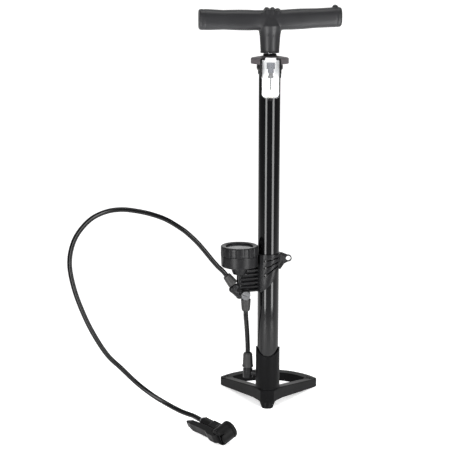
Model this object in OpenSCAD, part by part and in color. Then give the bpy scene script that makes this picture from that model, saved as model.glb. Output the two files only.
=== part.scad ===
// Floor bike pump: an upright steel barrel on a moulded tripod foot, with a T handle,
// a gauge on a side bracket, a valve head on a flexible hose and an accessory capsule.
// Origin: the barrel's axis where it meets the floor. +Z up, the gauge on the -X side,
// the accessory capsule on the -Y side.

/* [Barrel] */
// Outer diameter of the barrel tube
barrel_d = 35; // [34:0.5:36]
// Wall thickness of the barrel tube
barrel_wall = 1.5; // [1.2:0.1:1.8]
// Height of the top end of the barrel tube
barrel_top = 572; // [570:1:574]
// Diameter of the piston rod
rod_d = 12; // [11:0.5:12.5]
// Working stroke of the piston
stroke = 455; // [430:5:460]

/* [Foot] */
// Outer diameter of the foot's socket column
column_d = 39.6; // [39:0.2:40.6]
// Height of the side tips of the saddle-cut socket
column_top = 103; // [100:1:106]
// Distance from the barrel's axis to a rear corner, across
corner_x = 84; // [80:1:88]
// Distance from the barrel's axis to a rear corner, back
corner_y = 96; // [92:1:100]
// Height of the rear rim
rim_h = 15; // [14:0.5:16]
// How far the foot is turned about the barrel
foot_turn = -3; // [-6:1:6]

/* [Gauge] */
// Diameter of the fluted bezel
bezel_d = 61; // [60:0.5:61.5]
// Height of the bezel's top face
bezel_top = 275.5; // [274.5:0.5:276.5]
// Number of flutes around the bezel
flutes = 18; // [12:2:24]
// Full turn of the pointer over the dial
pointer_sweep = 270; // [240:10:300]

/* [Handle] */
// Width of the T handle across its ends
handle_w = 226; // [220:2:230]
// Diameter of the handle's arms
arm_d = 32; // [30:0.5:33]
// How far each arm rises towards its end
arm_rise = 2; // [0:0.5:5]
// How far the handle is turned about the barrel at rest
handle_yaw = 5.5; // [0:0.5:8]

/* [Hose] */
// Outer diameter of both hoses
hose_d = 8; // [7:0.2:8.4]
// Turn of the locking lever
lever_turn = 90; // [80:5:90]

/* [Hidden] */
$fn = 96;
e = 0.1;
run_fit = 0.05;
gap = 0.3;

barrel_r = barrel_d / 2;
bore_r = barrel_r - barrel_wall;
rod_r = rod_d / 2;
column_r = column_d / 2;
hose_r = hose_d / 2;

// Heights inside the barrel
barrel_z = 38;
plug_top = 59.6;
piston_z = 64;
piston_h = 20;
bumper_h = 8;
bush_z = piston_z + piston_h + bumper_h + stroke + 5;
boss_top = 583;
stem_z = boss_top + 0.4;
arm_z = 635.2;

// Foot: the outline is a wedge with a round back, and one round-backed opening
arc_y = 42;
arc_r = norm([corner_x, corner_y - arc_y]);
arm_w = 17;
wedge_slope = 0.62;
wedge_tip = corner_y - corner_x / wedge_slope;
arm_lift = 11;
arm_top = 31;
saddle_r = 20.8;
saddle_z = 88;

// Lower outlet of the barrel
outlet_dir = 163;
outlet_r = 34.4;
outlet_z = 48;
seat_z = 54.5;
ball_r = 2;
ball_z = seat_z + 1.25;
spring_top = 61.5;
boot_z = 62.5;
boot_top = 87;
hose_seat = 76;

// Gauge, bracket and manifold stand on one vertical axis beside the barrel
gauge_x = -47.5;
gauge_y = -16;
bezel_r = bezel_d / 2;
bezel_z = bezel_top - 15.5;
casing_z = bezel_z - 18.5;
hub_z = 227;
hub_r = 14;
casing_in = 25.6;
dial_r = 24.6;
dial_z = bezel_z + 3.5;
lens_z = bezel_z + 10.4;
band_r = 20.2;
band_z = 197;
band_top = 260;
fin_n = 6;
fin_pitch = 6.8;
fin_t = 2.6;
sleeve_r = 4.5;
stem_r = 3.5;
ear_x = 32.7;
ear_z = 250;
ear_hole_r = 4;
ear_t = 5;
slot_h = 2.2;
tee_x = -37;
tee_z = 194;
down_z = 166.5;
hose_exit = [-68.7, -22, 227];
boot_dir = 37;
bend_r = 5.6;
hub_top = 202.3;

// Valve head: local x runs away from the hose, local y towards the mouth, local z up
head_at = [-69.4, -181, 19.4];
head_tilt = 24;
head_turn = -55;
nozzle_r = 15;
cap_edge = 14.6;
sleeve_len = 60;
sleeve_y = -1.3;
pivot_y = -14;
lever_w = 16;

// Top of the barrel
collar_z = 551;
cap_z = 567.3;
cap_r = 30.3;
boss_r = 10.8;

// Accessory capsule
case_w = 26.6;
case_z = 517;
case_top = 575;
case_y = -34.5;
case_t = 22;
case_wall = 1.4;
plug_w = case_w - 2 * case_wall - 0.2;

// Where a point given in the valve head's own axes is
function turn_x(v, a) = [v[0], v[1] * cos(a) - v[2] * sin(a), v[1] * sin(a) + v[2] * cos(a)];
function turn_z(v, a) = [v[0] * cos(a) - v[1] * sin(a), v[0] * sin(a) + v[1] * cos(a), v[2]];
function head_point(v) = head_at + turn_z(turn_x(v, head_tilt), head_turn);

// The hose's route, from its boot on the manifold to the valve head's sleeve
hose_route = [hose_exit, [-71.1, -22, 230.2], [-75.6, -23.2, 235.6], [-82.5, -25, 242.5],
    [-92, -27, 254], [-103.5, -29, 269], [-115, -31, 283], [-127, -33.5, 295.5], [-139, -36, 306],
    [-163, -40, 322], [-187, -44, 332], [-211, -47, 338], [-235, -50, 341], [-259, -53, 338],
    [-283, -55, 326.5], [-303, -57, 305],
    [-314, -58, 281.5], [-318, -59, 254.5], [-314, -60, 224.5], [-304, -60, 189.5], [-286, -60, 146.5],
    [-262, -60, 106], [-237.5, -60.5, 81], [-213.5, -62, 57.5], [-189, -67, 39.5], [-164.5, -77, 27.5],
    [-141, -94, 21], [-122, -109.5, 19.4],
    head_point([-70, sleeve_y, 0]), head_point([-sleeve_len, sleeve_y, 0])];

// The short hose's route, from the outlet below to the manifold above
outlet_at = outlet_r * [cos(outlet_dir), sin(outlet_dir)];
lower_route = [[outlet_at[0], outlet_at[1], hose_seat], [outlet_at[0], outlet_at[1], 88],
    [-33.2, 8.7, 101], [-34.2, 3, 121], [-35.5, -5, 140], [-36.6, -12.4, 153], [tee_x, gauge_y, 163],
    [tee_x, gauge_y, 169], [tee_x, gauge_y, 182]];

// Smooth points through a route, a few to each span
function knot(p, i) = p[max(0, min(len(p) - 1, i))];
function spline(p, i, t) =
    let (a = knot(p, i - 1), b = knot(p, i), c = knot(p, i + 1), d = knot(p, i + 2))
    0.5 * (2 * b + (c - a) * t + (2 * a - 5 * b + 4 * c - d) * t * t
        + (3 * b - a - 3 * c + d) * t * t * t);
function smooth(p, n) = [for (i = [0:len(p) - 2], k = [0:n - 1]) spline(p, i, k / n), p[len(p) - 1]];

function unit(v) = v / norm(v);
function tangent(p, i) = unit(knot(p, i + 1) - knot(p, i - 1));
function ring(c, t, r, sides) =
    let (u = unit(cross(t, [0.2, 1, 0.1])), v = cross(t, u))
    [for (k = [0:sides - 1]) c + r * (cos(360 * k / sides) * u + sin(360 * k / sides) * v)];

// A round tube of radius r swept along the points p
module sweep(p, r, sides = 10) {
    last = len(p) - 1;
    points = [for (i = [0:last]) each ring(p[i], tangent(p, i), r, sides)];
    walls = [for (i = [0:last - 1], k = [0:sides - 1])
        let (a = i * sides + k, b = i * sides + (k + 1) % sides)
        [a, b, b + sides, a + sides]];
    near = [for (k = [sides - 1:-1:0]) k];
    far = [for (k = [0:sides - 1]) last * sides + k];
    polyhedron(points, concat([near], walls, [far]), convexity = 10);
}

// A solid of revolution from [radius, height] pairs
module turned(profile) rotate_extrude() polygon(profile);

// A round tube between two heights
module pipe(r_out, r_in, z0, z1) {
    translate([0, 0, z0]) difference() {
        cylinder(r = r_out, h = z1 - z0);
        translate([0, 0, -e]) cylinder(r = r_in, h = z1 - z0 + 2 * e);
    }
}

// A round bar from height z0 to z1
module bar(r, z0, z1) translate([0, 0, z0]) cylinder(r = r, h = z1 - z0);

module at_gauge() translate([gauge_x, gauge_y, 0]) children();
module at_outlet() rotate([0, 0, outlet_dir]) translate([outlet_r, 0, 0]) children();
// Turns a shape drawn along +Z so that it runs out of the barrel's axis through the outlet
module along_outlet() rotate([0, 0, outlet_dir]) translate([0, 0, outlet_z + 4]) rotate([0, 90, 0])
    children();
module at_boot() translate(hose_exit) rotate([0, -boot_dir, 0]) children();
module at_head() translate(head_at) rotate([head_tilt, 0, head_turn]) children();

// Turns a shape drawn along +Z so that it runs along the head's local +Y
module along_mouth() rotate([-90, 0, 0]) children();
// Turns a shape drawn along +Z so that it runs along the head's local -X, towards the hose
module along_sleeve() rotate([0, -90, 0]) children();

// ---------------------------------------------------------------- foot

module wedge(inset) {
    tip = wedge_tip + inset / sin(atan(wedge_slope));
    far = 240;
    polygon([[0, tip], [far * wedge_slope, tip + far], [-far * wedge_slope, tip + far]]);
}

module foot_outline() {
    intersection() {
        wedge(0);
        translate([0, arc_y]) circle(r = arc_r);
        translate([-corner_x - 1, -22]) square([2 * corner_x + 2, 200]);
    }
}

module foot_opening() {
    difference() {
        intersection() {
            wedge(arm_w);
            translate([0, arc_y]) circle(r = arc_r - arm_w);
            translate([-62, -20]) square([124, 180]);
        }
        circle(r = column_r + 2);
    }
}

module foot_side() {
    polygon([[-40, arm_lift], [0, arm_lift], [corner_y - 8, 0], [corner_y + 60, 0],
        [corner_y + 60, rim_h], [corner_y - 6, rim_h], [0, arm_top], [-40, arm_top]]);
}

module base_foot() color("#2b2b2d") rotate([0, 0, foot_turn]) difference() {
    union() {
        intersection() {
            linear_extrude(height = 40) difference() {
                foot_outline();
                foot_opening();
            }
            rotate([90, 0, 90]) translate([0, 0, -120]) linear_extrude(height = 240) foot_side();
        }
        bar(column_r, arm_lift, column_top);
        hull() {
            translate([0, -5, 13]) cylinder(r = 15, h = 1, $fn = 32);
            translate([0, -15.5, 0]) cylinder(r = 9.5, h = 1, $fn = 32);
            translate([0, 2, 0]) cylinder(r = 9.5, h = 1, $fn = 32);
        }
    }
    bar(barrel_r, barrel_z, column_top + 10);
    translate([0, 0, saddle_z + saddle_r]) rotate([90, 0, 0]) cylinder(r = saddle_r, h = 80, center = true);
    rotate([0, 0, -foot_turn]) along_outlet() bar(4.4, 0, 30);
}

// ---------------------------------------------------------------- barrel and its lower end

module barrel_tube() color("#111113") difference() {
    pipe(barrel_r, bore_r, barrel_z, barrel_top);
    along_outlet() bar(4.4, 0, 30);
}

module barrel_end_plug() color("#3a3a3c") difference() {
    bar(bore_r - 0.05, barrel_z, plug_top);
    translate([0, 0, plug_top - 1]) pipe(bore_r + 1, bore_r - 1.2, -1.6, 0.4 - e);
    bar(2, outlet_z + 4, plug_top + 1);
    along_outlet() bar(4.4, 8, 30);
    along_outlet() bar(2, 0, 10);
}

module end_plug_seal() color("#1c1c1c") translate([0, 0, plug_top - 1])
    pipe(bore_r - 0.02, bore_r - 1.15, -1.5, 0.2);

module outlet_elbow() color("#262628") difference() {
    union() {
        at_outlet() {
            bar(8, outlet_z - 4, outlet_z + 8.4);
            bar(6.4, outlet_z + 8, boot_z - 4);
        }
        along_outlet() bar(4.3, 9, outlet_r);
    }
    at_outlet() bar(1.6, outlet_z + 4, outlet_z + 8);
    at_outlet() bar(2.8, seat_z, boot_z);
    along_outlet() bar(1.6, 0, outlet_r);
}

module check_ball() color("#c9cbd0") at_outlet() translate([0, 0, ball_z]) sphere(r = ball_r);

module check_spring() color("#b5b7bb") at_outlet() bar(1.8, ball_z + ball_r + 0.05, spring_top);

module hose_barb_nut() color("#313134") at_outlet() difference() {
    union() {
        bar(8.1, boot_z - 5.8, boot_z - 3.2);
        bar(6.6, boot_z - 3.2, boot_z);
        bar(2.6, boot_z, hose_seat);
    }
    bar(6.5, boot_z - 7, boot_z - 4);
    bar(2, boot_z - 5, spring_top);
    bar(1.4, boot_z - 9, hose_seat + 1);
}

module lower_hose_boot() color("#2a2a2c") at_outlet() difference() {
    turned([[0, boot_z], [9.3, boot_z], [9.3, boot_z + 2.6], [8.6, boot_z + 3.6], [7.7, boot_top - 3],
        [6, boot_top], [0, boot_top]]);
    bar(2.6, boot_z - 1, hose_seat);
    bar(hose_r + 0.1, hose_seat, boot_top + 1);
}

module lower_hose() color("#141416") sweep(smooth(lower_route, 2), hose_r);

// ---------------------------------------------------------------- manifold under the gauge

// The bend that leads up to the hose's boot
boot_foot = hose_exit + 22.9 * [sin(boot_dir), 0, -cos(boot_dir)];
tee_bend = [[-43, gauge_y - 0.5, 193.5], [-51, -19, 196.4], [-58.6, -22, 203.6]];

// A round bar with a ball at its first end, between two points
module link(a, b, r) {
    run = b - a;
    translate(a) rotate([0, acos(run[2] / norm(run)), atan2(run[1], run[0])])
        cylinder(r = r, h = norm(run));
    translate(a) sphere(r = r + 0.4);
}

module tee_body() color("#29292b") difference() {
    union() {
        translate([tee_x, gauge_y, tee_z]) rotate([90, 0, 0]) cylinder(r = 7.4, h = 17, center = true);
        translate([tee_x, gauge_y, 0]) bar(6.2, 184, tee_z);
        at_gauge() bar(6, 192, hub_top);
        at_gauge() translate([0, 0, 192.3]) sphere(r = 6.3);
        translate([gauge_x, gauge_y, tee_z]) rotate([0, 90, 0]) bar(5.6, -1, 10);
        link(tee_bend[0], tee_bend[1], bend_r);
        link(tee_bend[1], tee_bend[2], bend_r);
        translate(tee_bend[2]) sphere(r = bend_r + 0.4);
        link(boot_foot, tee_bend[2], 4);
        at_boot() bar(2.6, -21, -9);
    }
    at_gauge() bar(stem_r, 189, hub_top + 1);
    translate([tee_x, gauge_y - 4, tee_z]) rotate([90, 0, 0]) cylinder(r = 4.1, h = 6);
    translate([tee_x, gauge_y, 0]) bar(1.6, 183, tee_z);
}

// Places a shape drawn along +Z on the manifold, pointing forward from a distance before its axis
module at_tee_face(ahead) translate([tee_x, gauge_y - ahead, tee_z]) rotate([90, 0, 0]) children();

module tee_plug_screw() color("#4a4a4d") at_tee_face(8.9) difference() {
    union() {
        cylinder(r = 7, h = 3.6);
        translate([0, 0, -4.6]) cylinder(r = 4, h = 4.8);
    }
    rotate([0, 0, -25]) translate([-8, -0.7, 2.4]) cube([16, 1.4, 2]);
}

module tee_plug_seal() color("#1c1c1c") at_tee_face(8.5) pipe(6.6, 4.1, 0, 0.4);

module tee_down_boot() color("#2a2a2c") translate([tee_x, gauge_y, 0]) difference() {
    turned([[0, down_z], [6, down_z], [6.9, down_z + 2.5], [8.1, 185], [7.6, 186.3], [0, 186.3]]);
    bar(hose_r + 0.1, down_z - 1, 182);
    bar(6.25, 183.9, 189);
    bar(1.7, 181, 185);
}

module hose_boot() color("#2e2e30") at_boot() difference() {
    turned([[0, -18], [8.2, -18], [8.4, -17], [7, -3], [6.4, -0.6], [5.6, 0], [0, 0]]);
    bar(2.65, -19, -8.9);
}

// ---------------------------------------------------------------- gauge bracket

// Places a shape drawn along +X so that it runs from the gauge's axis into the band
module towards_band(z) translate([gauge_x, gauge_y, z])
    rotate([0, 0, atan2(-gauge_y - 6, -gauge_x - 16)]) children();

module band_fin(z) {
    towards_band(z) translate([0, -6, 0]) cube([34, 12, fin_t]);
    if (z > hub_top) translate([gauge_x, gauge_y, z]) cylinder(r = sleeve_r + 0.4, h = fin_t);
}

module band_slot(x0, z0, x1, z1) {
    run = norm([x1 - x0, z1 - z0]);
    translate([x0, -25, z0]) rotate([0, -atan2(z1 - z0, x1 - x0), 0])
        translate([0, 0, -slot_h / 2]) cube([run, 24, slot_h]);
}

module band_ear() {
    difference() {
        translate([0, 7, 0]) rotate([90, 0, 0]) linear_extrude(height = ear_t) {
            polygon([[14, 259.5], [22, 259.5], [ear_x, ear_z + 5.2], [ear_x, ear_z - 5.2],
                [26, 241], [20, 232], [14, 232]]);
            translate([ear_x, ear_z]) circle(r = ear_hole_r + 1.6);
        }
        translate([ear_x, 0, ear_z]) rotate([90, 0, 0]) cylinder(r = ear_hole_r, h = 60, center = true);
    }
}

module gauge_bracket() color("#2b2b2e") difference() {
    union() {
        intersection() {
            union() {
                bar(band_r, band_z, band_top);
                rotate([0, 0, 228]) translate([18.6, -1.7, band_z]) cube([3, 3.4, band_top - band_z - 0.6]);
            }
            translate([-48, 0, 254]) rotate([90, 0, 0]) cylinder(r = 67, h = 80, center = true);
        }
        for (i = [0:fin_n - 1]) band_fin(band_z + 1 + i * fin_pitch);
        towards_band(band_z + 1.6) translate([0, 2, 0]) cube([34, 3, 39]);
        at_gauge() bar(sleeve_r, hub_top - 1, hub_z - gap);
        band_ear();
        translate([-8, 16, 222]) cube([16, 15, 22]);
    }
    bar(barrel_r, band_z - 10, band_top + 10);
    at_gauge() bar(stem_r, band_z - 10, band_top);
    at_gauge() bar(6 + gap, band_z - 10, hub_top + gap);
    at_gauge() bar(hub_r + gap, hub_z - gap, band_top);
    translate([tee_x, gauge_y, tee_z]) rotate([90, 0, 0]) cylinder(r = 7.4 + gap, h = 40, center = true);
    at_gauge() bar(bezel_r + 0.4, casing_z - 0.4, band_top + 10);
    translate([-1.5, 10, band_z - 1]) cube([3, 30, 80]);
    translate([0, 25.5, 233]) rotate([0, 90, 0]) cylinder(r = 2.6, h = 40, center = true);
    band_slot(-8, 249, 16, 254.5);
    band_slot(-8, 237, 16, 247.5);
    band_slot(-8, 224, 16, 241.5);
}

module bracket_screw() color("#8d9096") translate([0, 25.5, 233]) rotate([0, 90, 0]) {
    translate([0, 0, -12.5]) cylinder(r = 2.5, h = 26);
    difference() {
        translate([0, 0, -12.2]) cylinder(r = 4.5, h = 4.1);
        translate([0, 0, -12.3]) cylinder(r = 2.4, h = 2.4, $fn = 6);
    }
}

module bracket_nut() color("#8d9096") translate([0, 25.5, 233]) rotate([0, 90, 0]) translate([0, 0, 8.1])
    difference() {
        cylinder(r = 4.6, h = 4, $fn = 6);
        translate([0, 0, -e]) cylinder(r = 2.55, h = 5);
    }

// ---------------------------------------------------------------- gauge

module gauge_stem() color("#b08d57") at_gauge() difference() {
    union() {
        bar(stem_r - 0.02, 189, casing_z + 6);
        bar(6, casing_z + 3, casing_z + 6);
    }
    bar(1.2, 188, casing_z + 7);
}

module gauge_casing() color("#2c2c2f") at_gauge() {
    difference() {
        union() {
            turned([[0, hub_z], [6.5, hub_z], [10.6, hub_z + 1.4], [hub_r - 0.8, hub_z + 8],
                [hub_r, casing_z], [28.6, casing_z], [29.6, casing_z + 1], [30.3, bezel_z - 0.3],
                [0, bezel_z - 0.3]]);
            bar(28, bezel_z - 1, lens_z + 2);
            translate([1.5, -30.4, bezel_z - 3]) cube([1.6, 1.4, 2.7]);
        }
        bar(dial_r - 1, casing_z + 3, dial_z);
        bar(dial_r, dial_z - 1, lens_z + 1);
        bar(casing_in, lens_z, lens_z + 3);
        bar(stem_r, hub_z - 1, casing_z + 4);
    }
}

module gauge_movement() color("#b8995a") at_gauge() difference() {
    union() {
        bar(8, casing_z + 6, casing_z + 13);
        translate([-19, -3, casing_z + 6]) cube([19, 6, 3]);
    }
    bar(1.35, casing_z + 6 - e, casing_z + 14);
}

module bourdon_tube() color("#c09a55") at_gauge() translate([0, 0, casing_z + 11.6])
    rotate([0, 0, 185]) rotate_extrude(angle = 250) translate([19, 0]) circle(r = 2.4, $fn = 24);

module gauge_dial() color("#f2f2ee") at_gauge() pipe(dial_r - 0.05, 1.9, dial_z - 1, dial_z);

module gauge_pointer() color("#b3261e") at_gauge() rotate([0, 0, 225]) union() {
    bar(1.3, casing_z + 7, dial_z + 2);
    bar(3, dial_z + 0.8, dial_z + 2.4);
    translate([0, 0, dial_z + 0.9]) linear_extrude(height = 0.8)
        polygon([[-7, -1.2], [0, -1.6], [19, -0.35], [19, 0.35], [0, 1.6], [-7, 1.2]]);
}

module gauge_lens() color("#cfe4ea", 0.4) at_gauge() bar(casing_in - 0.05, lens_z, lens_z + 1.8);

module gauge_bezel() color("#2a2a2d") at_gauge() {
    difference() {
        turned([[28.1, bezel_z], [bezel_r, bezel_z], [bezel_r, bezel_top - 0.8], [bezel_r - 0.8, bezel_top],
            [22.6, bezel_top], [22, bezel_top - 0.6], [22, lens_z + 2.5], [28.1, lens_z + 2.5]]);
        for (i = [0:flutes - 1]) rotate([0, 0, (i + 0.5) * 360 / flutes])
            translate([bezel_r + 1.1, 0, bezel_z + 1.5]) cylinder(r = 1.9, h = 20, $fn = 24);
    }
}

// ---------------------------------------------------------------- hose and valve head

module hose() color("#121214") sweep(smooth(hose_route, 3), hose_r);

module head_body() color("#2d2d2f") at_head() difference() {
    union() {
        along_mouth() bar(nozzle_r - 0.4, -18, 5.3);
        along_mouth() bar(12, 5, 9);
        translate([0, sleeve_y, 0]) along_sleeve() bar(6.8, 10, sleeve_len);
        translate([-30, sleeve_y - 5.5, -7.5]) cube([24, 11, 15]);
    }
    translate([-40, -30, -8.3]) cube([51.5, 30 - 9.2, 16.6]);
    along_mouth() bar(9, -4.4, 10);
    along_mouth() bar(3.5 + run_fit, -10, -3);
    translate([0, sleeve_y, 0]) along_sleeve() bar(1.5, 0, sleeve_len + 1);
    translate([0, pivot_y, 0]) cylinder(r = 2.05, h = 60, center = true);
}

module hose_ferrule() color("#a9abb0") at_head() translate([0, sleeve_y, 0]) along_sleeve()
    pipe(6.1, hose_r + 0.15, sleeve_len + 0.1, sleeve_len + 2.1);

module lever_outline() {
    difference() {
        union() {
            translate([0, pivot_y]) circle(r = 4.4);
            polygon([[0, -9.6], [-17, -9.6], [-50, -10.6], [-70, -12.6], [-83, -15.4], [-84, -17.4],
                [-81, -20.2], [-66, -21.6], [-54, -20.6], [-28, -20], [-20, -22.6], [-6, -22.4],
                [1, -19.4], [2, -17]]);
        }
        translate([0, pivot_y]) circle(r = 2.06);
    }
}

module head_lever() color("#2f2f32") at_head() intersection() {
    translate([0, 0, -lever_w / 2]) linear_extrude(height = lever_w) lever_outline();
    rotate([90, 0, 0]) linear_extrude(height = 60) polygon([[-86, -3.8], [-70, -9], [10, -9], [10, 9],
        [-70, 9], [-86, 3.8]]);
}

module lever_pin() color("#a5a7ab") at_head() translate([0, pivot_y, 0])
    cylinder(r = 2, h = 25.6, center = true);

module head_plunger() color("#d8d4c8") at_head() along_mouth() difference() {
    union() {
        bar(3.5, -9, -4);
        bar(8.6, -4, -2.4);
    }
    bar(1.5, -10, 0);
}

module valve_grommet() color("#242426") at_head() along_mouth() pipe(8.8, 4, 0.4, 9.4);

module nozzle_cap() color("#29292b") at_head() along_mouth() difference() {
    turned([[0, 5.7], [cap_edge, 5.7], [cap_edge, 10], [cap_edge - 0.8, 11.7], [cap_edge - 2.6, 12.5],
        [0, 12.5]]);
    bar(12.1, 5, 9.8);
    bar(4.6, 5, 13);
}

// ---------------------------------------------------------------- handle, rod and piston

module handle_arm(side) {
    hull() {
        translate([side * 10, 0, arm_z]) rotate([0, side * 90, 0]) cylinder(r = arm_d / 2, h = 1, $fn = 32);
        translate([side * (handle_w / 2 - 3), 0, arm_z + arm_rise]) rotate([0, side * 90, 0])
            cylinder(r = arm_d / 2, h = 1, $fn = 32);
        translate([side * (handle_w / 2 - 1), 0, arm_z + arm_rise]) rotate([0, side * 90, 0])
            cylinder(r = arm_d / 2 - 2, h = 1, $fn = 32);
    }
}

module handle() color("#303033") rotate([0, 0, handle_yaw]) difference() {
    union() {
        handle_arm(1);
        handle_arm(-1);
        turned([[0, stem_z], [13.2, stem_z], [13.7, stem_z + 1], [16, 618], [16.6, 634], [15, 650],
            [11, 654.3], [0, 655]]);
    }
    bar(rod_r, stem_z - 1, 640);
    bar(3.1, 639, 646);
    bar(5.6, 645, 660);
}

module handle_screw() color("#8d9096") difference() {
    union() {
        bar(3, 622, 645);
        bar(5.4, 645, 649);
    }
    translate([0, 0, 646.5]) cylinder(r = 2.5, h = 4, $fn = 6);
}

module piston_rod() color("#d0d2d6") difference() {
    bar(rod_r - 0.02, piston_z + 1, 640);
    bar(rod_r - 1.3, piston_z + 22, 621);
    bar(3, 620, 641);
    bar(3, piston_z, piston_z + 23);
}

module rod_bumper() color("#1e1e20") pipe(11, rod_r, piston_z + piston_h, piston_z + piston_h + bumper_h);

module piston() color("#e6e2d6") difference() {
    bar(bore_r - 0.3, piston_z, piston_z + piston_h);
    translate([0, 0, piston_z]) pipe(bore_r + 1, 12, 6, 14);
    bar(rod_r, piston_z + 1, piston_z + piston_h + 1);
    bar(3, piston_z - 1, piston_z + 2);
}

module piston_seal() color("#1b1b1d") translate([0, 0, piston_z])
    pipe(bore_r - run_fit, 12.05, 6 + gap, 14 - gap);

module piston_nut() color("#8d9096") difference() {
    union() {
        bar(2.98, piston_z - 4, piston_z + 22);
        translate([0, 0, piston_z - 4]) cylinder(r = 5, h = 4, $fn = 6);
    }
}

// ---------------------------------------------------------------- top end of the barrel

module top_collar() color("#262628") difference() {
    turned([[0, collar_z], [18.9, collar_z], [18.9, collar_z + 6], [20.2, collar_z + 7], [21, collar_z + 9],
        [21, collar_z + 13], [20, cap_z], [0, cap_z]]);
    bar(barrel_r, collar_z - 1, cap_z + 1);
}

module top_cap() color("#5c585d") difference() {
    turned([[0, cap_z], [cap_r - 0.6, cap_z], [cap_r, cap_z + 0.6], [cap_r, cap_z + 8.2],
        [cap_r - 1.6, cap_z + 9.6], [14, cap_z + 12.2], [0, cap_z + 12.2]]);
    bar(barrel_r, cap_z - 1, barrel_top);
    bar(boss_r + 0.2, cap_z, cap_z + 14);
}

module guide_bush() color("#232325") difference() {
    union() {
        bar(bore_r - 0.05, bush_z, barrel_top);
        turned([[0, barrel_top - 1], [boss_r + 0.2, barrel_top - 1], [boss_r + 0.2, cap_z + 12],
            [boss_r, cap_z + 14], [boss_r - 0.8, boss_top], [0, boss_top]]);
    }
    bar(rod_r + run_fit, bush_z - 1, boss_top + 1);
}

// ---------------------------------------------------------------- accessory capsule

module capsule_outline(w, z0, z1, r) {
    translate([-w / 2, z0 + r]) square([w, z1 - z0 - r]);
    translate([-w / 2 + r, z0]) square([w - 2 * r, r + 1]);
    for (s = [-1, 1]) translate([s * (w / 2 - r), z0 + r]) circle(r = r);
}

// Draws an outline in the X-Z plane from y0 back to y0 + t
module upright(y0, t) translate([0, y0 + t, 0]) rotate([90, 0, 0]) linear_extrude(height = t) children();

module capsule_holder() color("#212123") difference() {
    union() {
        upright(-34.2, 2.6) {
            translate([-16.4, 548]) square([32.8, 26]);
            translate([-13, 570]) square([26, 7.6]);
            for (s = [-1, 1]) translate([s * 12.4, 573.6]) circle(r = 4);
        }
        for (s = [-1, 1]) translate([s * 15.1 - 1.3, -42, 548]) cube([2.6, 10, 26]);
        translate([-9, -32, collar_z + 1]) cube([18, 13, 12]);
        translate([-4, -32, 512]) cube([8, 1.6, 40]);
        translate([-4, -37.5, 512]) cube([8, 7, 2.4]);
        translate([-4, -32, 513]) cube([8, 14.2, 4]);
    }
    bar(21.1, collar_z - 1, cap_z + 1);
    bar(barrel_r + 0.1, 500, collar_z);
}

module capsule_case() color("#dfe8ee", 0.35) difference() {
    upright(case_y - case_t, case_t) capsule_outline(case_w, case_z, case_top, 6);
    upright(case_y - case_t + case_wall, case_t - 2 * case_wall)
        capsule_outline(case_w - 2 * case_wall, case_z + case_wall, case_top + 1, 4.6);
}

module capsule_stopper() color("#e8eef2", 0.5) {
    upright(case_y - case_t + case_wall + 0.1, case_t - 2 * case_wall - 0.2)
        translate([-plug_w / 2, case_top - 3]) square([plug_w, 3]);
    upright(case_y - case_t + 2, case_t - 4) translate([-8.5, case_top]) square([17, 3.6]);
}

module at_case() translate([0, case_y - case_t / 2, 0]) children();

module valve_adapter() color("#3f4754") at_case() difference() {
    union() {
        bar(6.6, 562, 571.8);
        bar(4.6, 556, 562);
    }
    bar(2.2, 555, 573);
}

module ball_needle() color("#c3a15c") at_case() {
    bar(4.4, 548, 551.5);
    bar(3.4, 551.4, 555.8);
    bar(1.1, 529.5, 548);
}

module cone_adapter() color("#e6dfc8") at_case() difference() {
    turned([[0, 518.6], [6.4, 518.6], [6.4, 521.5], [4.2, 522.5], [2.9, 529.2], [0, 529.2]]);
    bar(1.2, 518, 530);
}

base_foot();
barrel_tube();
barrel_end_plug();
end_plug_seal();
outlet_elbow();
check_ball();
check_spring();
hose_barb_nut();
lower_hose_boot();
lower_hose();
tee_body();
tee_plug_screw();
tee_plug_seal();
tee_down_boot();
hose_boot();
gauge_bracket();
bracket_screw();
bracket_nut();
gauge_stem();
gauge_casing();
gauge_movement();
bourdon_tube();
gauge_dial();
gauge_pointer();
gauge_lens();
gauge_bezel();
hose();
head_body();
hose_ferrule();
head_lever();
lever_pin();
head_plunger();
valve_grommet();
nozzle_cap();
handle();
handle_screw();
piston_rod();
rod_bumper();
piston();
piston_seal();
piston_nut();
top_collar();
top_cap();
guide_bush();
capsule_holder();
capsule_case();
capsule_stopper();
valve_adapter();
ball_needle();
cone_adapter();
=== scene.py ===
"""The looks of the floor bike pump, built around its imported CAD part. Metres throughout."""

import math

import bmesh
import bpy
from mathutils import Matrix, Vector

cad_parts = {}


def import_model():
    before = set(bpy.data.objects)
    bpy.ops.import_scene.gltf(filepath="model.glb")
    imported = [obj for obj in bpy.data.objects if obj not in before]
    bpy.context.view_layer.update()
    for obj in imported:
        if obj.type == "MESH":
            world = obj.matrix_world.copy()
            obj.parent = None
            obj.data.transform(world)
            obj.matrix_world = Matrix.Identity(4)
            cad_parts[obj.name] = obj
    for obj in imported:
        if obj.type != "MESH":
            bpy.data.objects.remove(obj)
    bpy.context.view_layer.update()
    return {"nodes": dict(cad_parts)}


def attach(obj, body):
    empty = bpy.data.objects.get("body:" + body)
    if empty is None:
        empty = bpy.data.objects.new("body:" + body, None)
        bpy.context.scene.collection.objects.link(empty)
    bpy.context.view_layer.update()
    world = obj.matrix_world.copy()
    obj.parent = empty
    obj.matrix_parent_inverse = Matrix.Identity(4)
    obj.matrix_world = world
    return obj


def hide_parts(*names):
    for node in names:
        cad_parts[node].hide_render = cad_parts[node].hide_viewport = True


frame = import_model()

MM = 0.001

CAMERA_AT = (-0.071, -1.959, 0.701)
CAMERA_TILT = 11.4
FOCAL_LENGTH = 98.2

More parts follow.
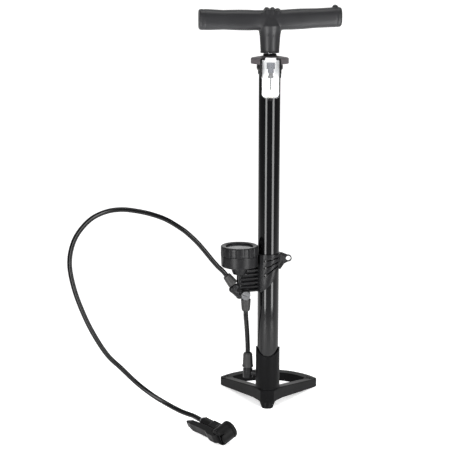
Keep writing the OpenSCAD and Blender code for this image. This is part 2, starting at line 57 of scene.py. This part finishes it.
# Places and sizes that follow part.scad's, in millimetres and degrees.
GAUGE = (-47.5, -16)
BEZEL_Z = 260
DIAL_TOP = 263.5
HANDLE_YAW = 5.5
ARM_Z = 634.8
CASE_BACK = -37
HOSE_RADIUS = 4.05
SLEEVE_Y = -1.3
PIN_Y = -14
PIN_RADIUS = 2.05
HEAD_AT = (Matrix.Translation((-69.4, -181, 19.4)) @ Matrix.Rotation(math.radians(-55), 4, "Z")
           @ Matrix.Rotation(math.radians(24), 4, "X"))
SLEEVE_MOUTH = HEAD_AT @ Vector((-60, SLEEVE_Y, 0))
HOSE_ROUTE = [
    (-68.7, -22, 227), (-71.1, -22, 230.2), (-75.6, -23.2, 235.6), (-82.5, -25, 242.5),
    (-92, -27, 254), (-103.5, -29, 269), (-115, -31, 283), (-127, -33.5, 295.5), (-139, -36, 306),
    (-163, -40, 322), (-187, -44, 332), (-211, -47, 338), (-235, -50, 341), (-259, -53, 338),
    (-283, -55, 326.5), (-303, -57, 305), (-314, -58, 281.5), (-318, -59, 254.5),
    (-314, -60, 224.5), (-304, -60, 189.5), (-286, -60, 146.5), (-262, -60, 106),
    (-237.5, -60.5, 81), (-213.5, -62, 57.5), (-189, -67, 39.5), (-164.5, -77, 27.5),
    (-141, -94, 21), (-122, -109.5, 19.4), HEAD_AT @ Vector((-70, SLEEVE_Y, 0)), SLEEVE_MOUTH,
]
LOWER_ROUTE = [
    (-32.9, 10.06, 76), (-32.9, 10.06, 88), (-33.2, 8.7, 101), (-34.2, 3, 121),
    (-35.5, -5, 140), (-36.6, -12.4, 153), (-37, -16, 163), (-37, -16, 169), (-37, -16, 182),
]

# ---------------------------------------------------------------- camera

scene = bpy.context.scene
scene.view_settings.view_transform = "Standard"


def camera():
    """A long lens a little to the left of the pump, tilted down."""
    data = bpy.data.cameras.new("camera")
    data.sensor_width = 36
    data.lens = FOCAL_LENGTH
    cam = bpy.data.objects.new("camera", data)
    cam.location = CAMERA_AT
    cam.rotation_euler = (math.radians(90 - CAMERA_TILT), 0, 0)
    scene.collection.objects.link(cam)
    scene.camera = cam


camera()

# ---------------------------------------------------------------- mesh helpers, in millimetres


def add_object(name, mesh, material, body, replaces):
    """Puts a mesh in the scene on a CAD body, standing for the CAD nodes it replaces, if any."""
    obj = bpy.data.objects.new(name, mesh)
    scene.collection.objects.link(obj)
    mesh.materials.clear()
    mesh.materials.append(material)
    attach(obj, body)
    if replaces:
        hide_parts(*replaces)
    return obj


def mesh_from(bm, name):
    """Turns a mesh being built into a finished one in metres."""
    bmesh.ops.scale(bm, vec=(MM, MM, MM), verts=bm.verts)
    bmesh.ops.recalc_face_normals(bm, faces=bm.faces)
    mesh = bpy.data.meshes.new(name)
    bm.to_mesh(mesh)
    bm.free()
    return mesh


def shade(mesh, angle):
    """Smooth shading, with edges sharper than the angle kept crisp."""
    mesh.shade_smooth()
    mesh.set_sharp_from_angle(angle=math.radians(angle))


def join_rows(bm, low, high):
    """Faces between two rings of vertices."""
    n = len(low)
    for k in range(n):
        bm.faces.new((low[k], low[(k + 1) % n], high[(k + 1) % n], high[k]))


def rings(bm, loops):
    """Joins closed loops of points into one closed skin with flat ends."""
    rows = [[bm.verts.new(p) for p in loop] for loop in loops]
    for low, high in zip(rows, rows[1:]):
        join_rows(bm, low, high)
    bm.faces.new(rows[0][::-1])
    bm.faces.new(rows[-1])


def circle(r, z, n=64, centre=(0, 0), ripple=None):
    """A ring of points round the Z axis. ripple(angle) adds to its radius."""
    points = []
    for k in range(n):
        a = 2 * math.pi * k / n
        rr = r + (ripple(a) if ripple else 0)
        points.append((centre[0] + rr * math.cos(a), centre[1] + rr * math.sin(a), z))
    return points


def lathe(bm, profile):
    """A closed solid of revolution from (radius, height) pairs going up its outside."""
    rings(bm, [circle(r, z) for r, z in profile])


def ring_solid(bm, profile, n, ripple, ripple_from, centre=(0, 0)):
    """A closed ring whose profile goes round its section. Radii over ripple_from are rippled."""
    rows = []
    for r, z in profile:
        wave = ripple if r > ripple_from else None
        rows.append([bm.verts.new(p) for p in circle(r, z, n, centre, wave)])
    for low, high in zip(rows, rows[1:] + rows[:1]):
        join_rows(bm, low, high)


def rod(bm, a, b, r0, r1=None, n=24):
    """A straight bar from a to b with a radius at each end."""
    a, b = Vector(a), Vector(b)
    turn = (b - a).to_track_quat("Z", "Y").to_matrix()
    loops = []
    for at, r in ((a, r0), (b, r0 if r1 is None else r1)):
        loops.append([at + turn @ Vector(p) for p in circle(r, 0, n)])
    rings(bm, loops)


def ball(bm, radii, where):
    """An ellipsoid with three radii, moved by a matrix."""
    bmesh.ops.create_uvsphere(bm, u_segments=32, v_segments=16, radius=1,
                              matrix=where @ Matrix.Diagonal((*radii, 1)))


def placed(bm, where):
    """Moves everything built so far by a matrix."""
    bmesh.ops.transform(bm, matrix=where, verts=bm.verts)


def block(bm, low, high, where=None):
    """A box between two corners, moved by a matrix."""
    size = [h - l for l, h in zip(low, high)]
    middle = [(h + l) / 2 for l, h in zip(low, high)]
    place = Matrix.Translation(middle) @ Matrix.Diagonal((*size, 1))
    bmesh.ops.create_cube(bm, size=1, matrix=(where or Matrix()) @ place)


def plate(bm, outline, low, high):
    """An outline in X-Y, given thickness from low to high along Z."""
    rings(bm, [[(x, y, z) for x, y in outline] for z in (low, high)])


def apply_modifiers(obj):
    """Bakes an object's modifiers into a new mesh and returns it."""
    depsgraph = bpy.context.evaluated_depsgraph_get()
    mesh = bpy.data.meshes.new_from_object(obj.evaluated_get(depsgraph))
    bpy.data.objects.remove(obj)
    return mesh


def temporary(bm, name):
    """A throwaway object for modifiers to work on."""
    obj = bpy.data.objects.new(name, mesh_from(bm, name))
    scene.collection.objects.link(obj)
    return obj


def cut(obj, cutter):
    """Takes the cutter's shape out of an object."""
    mod = obj.modifiers.new("cut", "BOOLEAN")
    mod.operation = "DIFFERENCE"
    mod.object = cutter
    mod.solver = "MANIFOLD"


def remesh(obj, voxel):
    """Melts an object's overlapping pieces into one even skin."""
    melt = obj.modifiers.new("melt", "REMESH")
    melt.mode = "VOXEL"
    melt.voxel_size = voxel * MM


def moulded(bm, name, voxel, smooth, cutters=(), crisp=()):
    """One moulded skin with soft fillets, less the cutters' shapes. The crisp cuts stay sharp."""
    obj = temporary(bm, name)
    holes = [temporary(c, name + "_cut") for c in cutters]
    remesh(obj, voxel)
    for hole in holes:
        cut(obj, hole)
    if holes:
        remesh(obj, voxel)
    soften = obj.modifiers.new("soften", "SMOOTH")
    soften.factor = 0.5
    soften.iterations = smooth
    slits = [temporary(c, name + "_slit") for c in crisp]
    for slit in slits:
        cut(obj, slit)
    mesh = apply_modifiers(obj)
    for hole in holes + slits:
        bpy.data.objects.remove(hole)
    shade(mesh, 60)
    return mesh


def bevelled(bm, name, width, segments=3):
    """A crisp part with small rounded edges."""
    obj = temporary(bm, name)
    mod = obj.modifiers.new("bevel", "BEVEL")
    mod.width = width * MM
    mod.segments = segments
    mod.angle_limit = math.radians(35)
    mesh = apply_modifiers(obj)
    shade(mesh, 30)
    return mesh


def cad_copy(bm, node):
    """Adds a copy of a CAD node to a mesh being built."""
    copy = frame["nodes"][node].data.copy()
    copy.transform(Matrix.Scale(1 / MM, 4))
    bm.from_mesh(copy)
    bpy.data.meshes.remove(copy)
    bmesh.ops.remove_doubles(bm, verts=bm.verts, dist=0.0005)


def soft_copy(name, node, material, width=0.4, segments=3):
    """Replaces a CAD node on the pump's main body by a copy with rounded edges."""
    bm = bmesh.new()
    cad_copy(bm, node)
    add_object(name, bevelled(bm, name, width, segments), material, "pump", [node])


# ---------------------------------------------------------------- materials


def nodes_of(material):
    """A material's node tree and its main shader."""
    material.use_nodes = True
    tree = material.node_tree
    return tree, tree.nodes["Principled BSDF"]


def noise_node(tree, scale, detail=3):
    """Fine noise fixed to the object itself."""
    where = tree.nodes.new("ShaderNodeTexCoord")
    texture = tree.nodes.new("ShaderNodeTexNoise")
    texture.inputs["Scale"].default_value = scale
    texture.inputs["Detail"].default_value = detail
    tree.links.new(where.outputs["Object"], texture.inputs["Vector"])
    return texture.outputs["Fac"]


def spread(tree, source, low, high):
    """Maps noise around its middle onto a range of values."""
    node = tree.nodes.new("ShaderNodeMapRange")
    node.inputs["From Min"].default_value = 0.3
    node.inputs["From Max"].default_value = 0.7
    node.inputs["To Min"].default_value = low
    node.inputs["To Max"].default_value = high
    tree.links.new(source, node.inputs["Value"])
    return node.outputs["Result"]


def color_mix(tree, source, low, high):
    """Goes from one colour to another as the source goes from 0 to 1."""
    mix = tree.nodes.new("ShaderNodeMix")
    mix.data_type = "RGBA"
    factor, first, second = (mix.inputs[i] for i in (0, 6, 7))
    first.default_value = (*low, 1)
    second.default_value = (*high, 1)
    tree.links.new(source, factor)
    return mix.outputs[2]


def finish_of(name, color, rough, grain=900, bump=0.05, vary=0.12, metal=0.0, specular=0.5):
    """A procedural finish: colour and roughness that wander a little, and a fine surface grain."""
    material = bpy.data.materials.new(name)
    tree, shader = nodes_of(material)
    coarse = noise_node(tree, 35, 4)
    darker = [c * (1 - vary) for c in color]
    lighter = [min(1, c * (1 + vary)) for c in color]
    tree.links.new(color_mix(tree, coarse, darker, lighter), shader.inputs["Base Color"])
    tree.links.new(spread(tree, coarse, rough * 0.88, min(1, rough * 1.12)), shader.inputs["Roughness"])
    grain_bump = tree.nodes.new("ShaderNodeBump")
    grain_bump.inputs["Strength"].default_value = bump
    grain_bump.inputs["Distance"].default_value = 0.0002
    tree.links.new(noise_node(tree, grain, 2), grain_bump.inputs["Height"])
    tree.links.new(grain_bump.outputs["Normal"], shader.inputs["Normal"])
    shader.inputs["Metallic"].default_value = metal
    shader.inputs["Specular IOR Level"].default_value = specular
    return material


def clear_finish(name, color, rough, alpha):
    """Thin clear plastic, a little hazy in places."""
    material = finish_of(name, color, rough, grain=300, bump=0.02, vary=0.03)
    tree, shader = nodes_of(material)
    haze = spread(tree, noise_node(tree, 60), alpha * 0.9, min(1, alpha * 1.1))
    tree.links.new(haze, shader.inputs["Alpha"])
    return material


FOOT = finish_of("foot_plastic", (0.003, 0.003, 0.0033), 0.44, grain=1400, bump=0.22, specular=0.06)
SATIN = finish_of("satin_plastic", (0.007, 0.007, 0.0076), 0.34, grain=1500, bump=0.1, specular=0.15)
HANDLE = finish_of("handle_plastic", (0.019, 0.019, 0.0206), 0.4, grain=1500, bump=0.1, specular=0.3)
HEAD = finish_of("head_plastic", (0.003, 0.003, 0.0031), 0.42, grain=1500, bump=0.14, specular=0.07)
CAP = finish_of("cap_plastic", (0.07, 0.062, 0.066), 0.5, grain=1200, bump=0.12)
PLUG = finish_of("plug_plastic", (0.075, 0.076, 0.08), 0.42)
PAINT = finish_of("barrel_paint", (0.002, 0.002, 0.0023), 0.08, grain=60, bump=0.015, specular=0.28)
RUBBER = finish_of("soft_rubber", (0.016, 0.0155, 0.0155), 0.5, grain=1100, bump=0.16, specular=0.3)
HOSE = finish_of("hose_rubber", (0.002, 0.002, 0.0022), 0.2, grain=700, bump=0.05, specular=0.2)
STEEL = finish_of("steel", (0.6, 0.6, 0.62), 0.22, grain=500, bump=0.03, metal=1.0)
PIN = finish_of("dark_pin", (0.012, 0.012, 0.013), 0.4, grain=500, specular=0.3)
BRASS = finish_of("brass", (0.68, 0.5, 0.24), 0.26, grain=500, bump=0.03, metal=1.0)
NATURAL = finish_of("natural_plastic", (0.78, 0.75, 0.66), 0.4)
DIAL = finish_of("dial_card", (0.86, 0.86, 0.84), 0.5, grain=1500, bump=0.02, vary=0.02)
INK = finish_of("dial_ink", (0.012, 0.012, 0.013), 0.6, vary=0.3)
POINTER = finish_of("pointer_paint", (0.55, 0.02, 0.012), 0.35)
ADAPTER = finish_of("adapter_plastic", (0.025, 0.03, 0.045), 0.5, specular=0.2)
# Near-opaque white for the capsule's back faces: painted light for the brightness of the lit clear
# plastic.
CAPSULE_PAINTED_LIGHT = clear_finish("capsule_painted_light", (0.95, 0.96, 0.97), 0.3, 0.95)
CLEAR = clear_finish("clear_plastic", (0.95, 0.96, 0.97), 0.06, 0.07)
LENS = clear_finish("lens_plastic", (0.05, 0.052, 0.055), 0.04, 0.8)

CAD_FINISHES = {
    PAINT: ["barrel_tube"],
    PLUG: ["barrel_end_plug"],
    RUBBER: ["end_plug_seal", "tee_plug_seal", "valve_grommet", "piston_seal", "rod_bumper"],
    STEEL: ["check_ball", "check_spring", "bracket_screw", "bracket_nut", "hose_ferrule",
            "handle_screw", "piston_rod", "piston_nut"],
    PIN: ["lever_pin", "ball_needle"],
    BRASS: ["gauge_stem", "gauge_movement", "bourdon_tube"],
    NATURAL: ["head_plunger", "piston", "cone_adapter"],
    POINTER: ["gauge_pointer"],
    ADAPTER: ["valve_adapter"],
    LENS: ["gauge_lens"],
    SATIN: ["guide_bush"],
}
for material, names in CAD_FINISHES.items():
    for name in names:
        mesh = frame["nodes"][name].data
        mesh.materials.clear()
        mesh.materials.append(material)

# ---------------------------------------------------------------- foot


def foot():
    """The tripod foot and its column, with the fillets of a moulding."""
    bm = bmesh.new()
    cad_copy(bm, "base_foot")
    mesh = moulded(bm, "foot", 0.8, 4)
    add_object("foot_skin", mesh, FOOT, "pump", ["base_foot"])


def studs():
    """Small moulded ribs on the rim's two corners."""
    bm = bmesh.new()
    rim_radius, rim_y = 92, 42
    for side in (-1, 1):
        for k in range(3):
            a = math.radians(90 - side * (49 + 4.5 * k) - 3)
            x, y = rim_radius * math.cos(a), rim_y + rim_radius * math.sin(a)
            block(bm, (x - 1.2, y - 4, 13), (x + 1.2, y + 4, 15.9))
    mesh = bevelled(bm, "foot_studs", 0.6)
    add_object("foot_studs", mesh, FOOT, "pump", [])


foot()
studs()

# ---------------------------------------------------------------- handle


def arm_section(x, side, half_y, half_z, lift):
    """One cross-section of an arm: a soft rectangle whose top slopes a little to the front."""
    points = []
    for k in range(48):
        a = 2 * math.pi * k / 48
        c, s = math.cos(a), math.sin(a)
        y = half_y * math.copysign(abs(c) ** 0.72, c)
        z = half_z * math.copysign(abs(s) ** 0.72, s)
        points.append((side * x, y, lift + z))
    return points


def handle():
    """Two arms meet in a crown whose folds gather into the stem, like drawn-in cloth."""
    bm = bmesh.new()
    # side of the stem, rise of the arm per millimetre, extra half height of its end knob
    for side, rise, grow in ((-1, 0.016, 0.9), (1, 0.046, 0.2)):
        # distance out, half depth, half height
        stations = [
            (0, 15, 16), (16, 15.2, 15.9), (24, 15.8, 15.8), (34, 16, 16.2), (50, 16, 16.2),
            (74, 15.8, 15.4), (96, 16, 15.4 + grow), (103, 16, 15.6 + grow),
            (104.4, 15.4, 15 + grow), (106, 16, 15.6 + grow), (110, 15.9, 15.4 + grow),
            (112, 15.2, 14.6 + grow), (113, 13.4, 12.8 + grow),
        ]
        rings(bm, [arm_section(x, side, hy, hz, ARM_Z + x * rise) for x, hy, hz in stations])
    ball(bm, (4.5, 7, 3.6), Matrix.Translation((103.5, 0, 655.6)))
    lathe(bm, [(14.2, 584), (15.2, 584.1), (15.5, 585.6), (14.9, 587), (15.5, 596), (16.4, 610),
               (17.6, 618), (19.8, 626), (16, 640), (12, 648)])
    ball(bm, (16.6, 15.4, 18.6), Matrix.Translation((0, 0, 636)))
    for x, z in ((-13.5, 647), (-5.6, 651.6), (2.6, 652), (11.4, 650)):
        rod(bm, (x * 0.3, -14, 610), (x, -9.6, z), 2.6, 4.4)
        ball(bm, (4.6, 10, 4.2), Matrix.Translation((x, -2, z)))
    screw_hole = bmesh.new()
    rod(screw_hole, (0, 0, 645.2), (0, 0, 662), 5.8)
    rod(screw_hole, (0, 0, 580), (0, 0, 641), 6.3)
    for part in (bm, screw_hole):
        placed(part, Matrix.Rotation(math.radians(HANDLE_YAW), 4, "Z"))
    mesh = moulded(bm, "handle", 0.65, 6, [screw_hole])
    add_object("handle_skin", mesh, HANDLE, "handle_group", ["handle"])


handle()

# ---------------------------------------------------------------- gauge


def bezel():
    """The gauge's grip ring, with narrow flutes round its side."""
    flutes = 18

    def flute(a):
        wave = abs(((a * flutes / (2 * math.pi)) % 1) - 0.5) * 2
        return -0.9 * max(0.0, 1 - (1 - wave) * 3.2) ** 0.7

    profile = [
        (28.15, 0), (30.2, 0.1), (30.4, 0.5), (30.5, 2), (30.5, 9), (30.5, 13.6), (30.1, 14.8),
        (29, 15.5), (27, 15.3), (23.2, 14.8), (22.4, 14.4), (22.1, 13.8), (22.2, 12.9), (28.15, 12.9),
    ]
    bm = bmesh.new()
    ring_solid(bm, [(r, BEZEL_Z + z) for r, z in profile], 432, flute, 29.5, GAUGE)
    mesh = mesh_from(bm, "bezel")
    shade(mesh, 40)
    add_object("bezel_skin", mesh, SATIN, "bezel", ["gauge_bezel"])


def dial():
    """The printed face: a scale of long and short ticks on a white card."""
    bm = bmesh.new()
    cad_copy(bm, "gauge_dial")
    add_object("dial_card", mesh_from(bm, "dial"), DIAL, "pump", ["gauge_dial"])
    ink = bmesh.new()
    for k in range(55):
        a = math.radians(225 - 5 * k)
        where = Matrix.Translation((*GAUGE, DIAL_TOP)) @ Matrix.Rotation(a, 4, "Z")
        inner, half_width = (16.8, 0.5) if k % 6 == 0 else (19, 0.22)
        block(ink, (inner, -half_width, 0), (21.6, half_width, 0.12), where)
    add_object("dial_marks", mesh_from(ink, "dial_marks"), INK, "pump", [])


bezel()
soft_copy("casing_skin", "gauge_casing", SATIN, 0.5)
dial()

# ---------------------------------------------------------------- bracket and manifold


def manifold():
    """The T under the gauge, melted together with a soft swelling on its outlet."""
    bm = bmesh.new()
    cad_copy(bm, "tee_body")
    ball(bm, (6.2, 4.5, 6), Matrix.Translation((-53.6, -21.5, 207.6)))
    mesh = moulded(bm, "tee", 0.5, 6)
    add_object("tee_skin", mesh, SATIN, "pump", ["tee_body"])


soft_copy("bracket_skin", "gauge_bracket", SATIN, 0.35, 2)
manifold()
soft_copy("plug_screw", "tee_plug_screw", PLUG)
soft_copy("down_boot", "tee_down_boot", RUBBER)
soft_copy("exit_boot", "hose_boot", RUBBER)
soft_copy("low_boot", "lower_hose_boot", RUBBER)
soft_copy("barb_nut", "hose_barb_nut", SATIN)
soft_copy("elbow", "outlet_elbow", SATIN)

# ---------------------------------------------------------------- top of the barrel

soft_copy("collar", "top_collar", SATIN, 0.6)
soft_copy("cap_disc", "top_cap", CAP, 0.5)
soft_copy("holder", "capsule_holder", SATIN, 0.5)


def capsule():
    """The clear case and its clear stopper. Their back faces are near-opaque white: painted light for
    the brightness of the lit clear plastic.
    """
    for name, node, width in (("capsule", "capsule_case", 0.6), ("stopper", "capsule_stopper", 0.5)):
        bm = bmesh.new()
        cad_copy(bm, node)
        mesh = bevelled(bm, name, width)
        obj = add_object(name, mesh, CLEAR, "capsule", [node])
        obj.data.materials.append(CAPSULE_PAINTED_LIGHT)
        # The back faces take the near-opaque white: painted light on the clear case.
        for face in mesh.polygons:
            face.material_index = int(face.center.y > CASE_BACK * MM)


capsule()

# ---------------------------------------------------------------- valve head


def pin_hole():
    """The lever pin's hole, right through the head's slot."""
    bm = bmesh.new()
    rod(bm, (0, PIN_Y, -20), (0, PIN_Y, 20), PIN_RADIUS)
    return bm


def head():
    """A round body with a slot for the lever, and the sleeve that takes the hose."""
    bm = bmesh.new()
    rod(bm, (0, -15, 0), (0, 5.3, 0), 14.3, n=48)
    rod(bm, (0, -17.6, 0), (0, -15, 0), 11.2, 14.2, n=48)
    rod(bm, (-59.8, SLEEVE_Y, 0), (-10, SLEEVE_Y, 0), 6.8, n=32)
    block(bm, (-58, -7.4, -5.4), (-12, 5, 5.4))
    block(bm, (-34, -9.4, -7.2), (-8, 5.4, 7.2))
    ball(bm, (10.5, 6.8, 9.5), Matrix.Translation((-12, -2, 0)))
    slot = bmesh.new()
    block(slot, (-48, -40, -8.6), (12, -9.2, 8.6))
    mouth = bmesh.new()
    rod(mouth, (0, -4.4, 0), (0, 12, 0), 9.1, n=48)
    hole = pin_hole()
    for part in (bm, slot, mouth, hole):
        placed(part, HEAD_AT)
    mesh = moulded(bm, "head", 0.55, 6, [slot, mouth], [hole])
    add_object("head_skin", mesh, HEAD, "pump", ["head_body"])


def lever():
    """The locking lever: a curved bar that narrows to a blunt tip, with a finger grip outside."""
    side = [
        (2, -17), (1.8, -12.4), (0, -9.8), (-17, -9.8), (-50, -10.8), (-70, -12.8), (-82.8, -15.6),
        (-83.8, -17.4), (-81, -20), (-66, -21.4), (-54, -20.4), (-28, -19.8), (-20, -22.4),
        (-6, -22.2), (0.8, -19.2),
    ]
    bm = bmesh.new()
    plate(bm, side, -7.8, 7.8)
    hole = pin_hole()
    trims = bmesh.new()
    for s in (-1, 1):
        corner = [(-90, s * 3.2), (-84, s * 3.9), (-68, s * 7.9), (-68, s * 12), (-90, s * 12)]
        rings(trims, [[(x, y, z) for x, z in corner] for y in (-30, -4)])
    block(trims, (-14, -16, 6.6), (-12.6, -12.2, 9))
    for k in range(4):
        block(trims, (-72 + 4 * k, -26, -5), (-70.6 + 4 * k, -20.7, 5))
    for part in (bm, hole, trims):
        placed(part, HEAD_AT)
    mesh = moulded(bm, "lever", 0.5, 4, [trims], [hole])
    add_object("lever_skin", mesh, HEAD, "lever", ["head_lever"])


def mouth_cap():
    """The cap round the head's mouth, with a fine knurl."""

    def knurl(a):
        return 0.12 * math.cos(24 * a)

    profile = [
        (12.2, 5.7), (14.2, 5.7), (14.35, 5.9), (14.35, 8.6), (13.6, 10.8), (12, 12.1),
        (10, 12.5), (5.4, 12.5), (4.7, 12), (4.7, 9.9), (12.2, 9.9),
    ]
    bm = bmesh.new()
    ring_solid(bm, profile, 192, knurl, 14.3)
    placed(bm, HEAD_AT @ Matrix.Rotation(math.radians(-90), 4, "X"))
    mesh = mesh_from(bm, "mouth_cap")
    shade(mesh, 40)
    add_object("mouth_cap", mesh, HEAD, "cap", ["nozzle_cap"])


head()
lever()
mouth_cap()

# ---------------------------------------------------------------- hoses


def spline(points, steps):
    """Smooth points through a route, with the same rule as the CAD model's."""
    out = []
    last = len(points) - 1
    for i in range(last):
        a, b, c, d = (Vector(points[min(last, max(0, i + j))]) for j in (-1, 0, 1, 2))
        for k in range(steps):
            t = k / steps
            out.append(0.5 * (2 * b + (c - a) * t + (2 * a - 5 * b + 4 * c - d) * t ** 2
                              + (3 * b - a - 3 * c + d) * t ** 3))
    return out + [Vector(points[-1])]


def resample(points, step):
    """The same line with evenly spaced points."""
    out = [points[0].copy()]
    left = step
    for a, b in zip(points, points[1:]):
        run = (b - a).length
        done = 0.0
        while run - done >= left:
            done += left
            out.append(a.lerp(b, done / run))
            left = step
        left -= run - done
    if (out[-1] - points[-1]).length > step * 0.3:
        out.append(points[-1].copy())
    else:
        out[-1] = points[-1].copy()
    return out


def ribbed_tube(bm, line, r, depth):
    """A round tube along a line with a shallow groove at every other ring."""
    up = Vector((0.2, 1, 0.1))
    loops = []
    for i, p in enumerate(line):
        t = (line[min(i + 1, len(line) - 1)] - line[max(i - 1, 0)]).normalized()
        u = t.cross(up).normalized()
        v = t.cross(u)
        ring = circle(r - (depth if i % 2 else 0), 0, 20)
        loops.append([p + x * u + y * v for x, y, _ in ring])
    rings(bm, loops)


def hose_piece(name, node, route, steps):
    """A grooved hose along a route, and the line it follows."""
    line = resample(spline(route, steps), 1.0)
    bm = bmesh.new()
    ribbed_tube(bm, line, HOSE_RADIUS, 0.28)
    mesh = mesh_from(bm, name)
    shade(mesh, 80)
    return add_object(name, mesh, HOSE, "pump", [node]), line


def hoses():
    """The free hose and the fixed lower hose."""
    hose, line = hose_piece("hose_skin", "hose", HOSE_ROUTE, 10)
    hose_piece("lower_hose_skin", "lower_hose", LOWER_ROUTE, 6)


hoses()

# ---------------------------------------------------------------- floor and light


def math_node(tree, operation, *values):
    """One sum on numbers or on other nodes' outputs."""
    node = tree.nodes.new("ShaderNodeMath")
    node.operation = operation
    for socket, value in zip(node.inputs, values):
        if isinstance(value, (int, float)):
            socket.default_value = value
        else:
            tree.links.new(value, socket)
    return node.outputs["Value"]


def ramp(tree, source, start, end, low, high):
    """Runs smoothly from low to high while the source goes from start to end."""
    node = tree.nodes.new("ShaderNodeMapRange")
    node.interpolation_type = "SMOOTHSTEP"
    for name, value in (("From Min", start), ("From Max", end), ("To Min", low), ("To Max", high)):
        node.inputs[name].default_value = value
    tree.links.new(source, node.inputs["Value"])
    return node.outputs["Result"]


def floor_paper():
    """White paper, lit from within, that fades to pale grey away from the pump."""
    material = bpy.data.materials.new("floor_paper")
    tree, shader = nodes_of(material)
    where = tree.nodes.new("ShaderNodeTexCoord")
    split = tree.nodes.new("ShaderNodeSeparateXYZ")
    tree.links.new(where.outputs["Object"], split.inputs["Vector"])
    aside = math_node(tree, "ABSOLUTE", split.outputs["X"])
    aside = math_node(tree, "MULTIPLY_ADD", split.outputs["Y"], -0.25, aside)
    near = ramp(tree, aside, 0.5, 2.5, 1, 0)
    back = ramp(tree, split.outputs["Y"], -1.2, -0.2, 0, 1)
    white = math_node(tree, "MULTIPLY", near, back)
    paper = color_mix(tree, white, (0.5, 0.5, 0.5), (0.93, 0.93, 0.93))
    tree.links.new(paper, shader.inputs["Base Color"])
    shader.inputs["Emission Color"].default_value = (1, 1, 1, 1)
    glow = ramp(tree, split.outputs["Y"], 0.1, 2.5, 0.4, 0.8)
    tree.links.new(math_node(tree, "MULTIPLY", white, glow), shader.inputs["Emission Strength"])
    shader.inputs["Roughness"].default_value = 0.9
    shader.inputs["Specular IOR Level"].default_value = 0.1
    return material


def floor():
    """A wide flat sheet under the pump."""
    half = 14
    corners = [(-half, -half, 0), (half, -half, 0), (half, half, 0), (-half, half, 0)]
    mesh = bpy.data.meshes.new("floor")
    mesh.from_pydata(corners, [], [(0, 1, 2, 3)])
    mesh.materials.append(floor_paper())
    obj = bpy.data.objects.new("floor", mesh)
    scene.collection.objects.link(obj)


def world():
    """A pale grey studio with a white backdrop behind the pump."""
    sky = bpy.data.worlds.new("studio")
    scene.world = sky
    sky.use_nodes = True
    tree = sky.node_tree
    where = tree.nodes.new("ShaderNodeTexCoord")
    split = tree.nodes.new("ShaderNodeSeparateXYZ")
    tree.links.new(where.outputs["Generated"], split.inputs["Vector"])
    background = tree.nodes["Background"]
    background.inputs["Color"].default_value = (1, 1, 1, 1)
    tree.links.new(ramp(tree, split.outputs["Y"], 0.5, 0.93, 0.33, 1.2), background.inputs["Strength"])


def area_light(name, at, aim, size, power):
    """A rectangular soft box turned towards a point."""
    data = bpy.data.lights.new(name, "AREA")
    data.shape = "RECTANGLE"
    data.size, data.size_y = size
    data.energy = power
    light = bpy.data.objects.new(name, data)
    light.location = at
    light.rotation_euler = (Vector(aim) - Vector(at)).to_track_quat("-Z", "Y").to_euler()
    scene.collection.objects.link(light)


def strip(name, azimuth, distance, width, low, high, power):
    """A tall soft box round the pump, azimuth degrees from the camera's side towards +X."""
    a = math.radians(azimuth)
    middle = (low + high) / 2
    at = (distance * math.sin(a), -distance * math.cos(a), middle)
    area_light(name, at, (0, 0, middle), (width, high - low), power)


floor()
world()
strip("left_strip", -34, 0.55, 0.17, 0.02, 0.58, 4)
strip("right_strip", 41, 0.55, 0.2, 0.02, 0.58, 4.4)
area_light("top_light", (0, -0.2, 2.4), (0, 0, 0.2), (1.5, 1.5), 22)
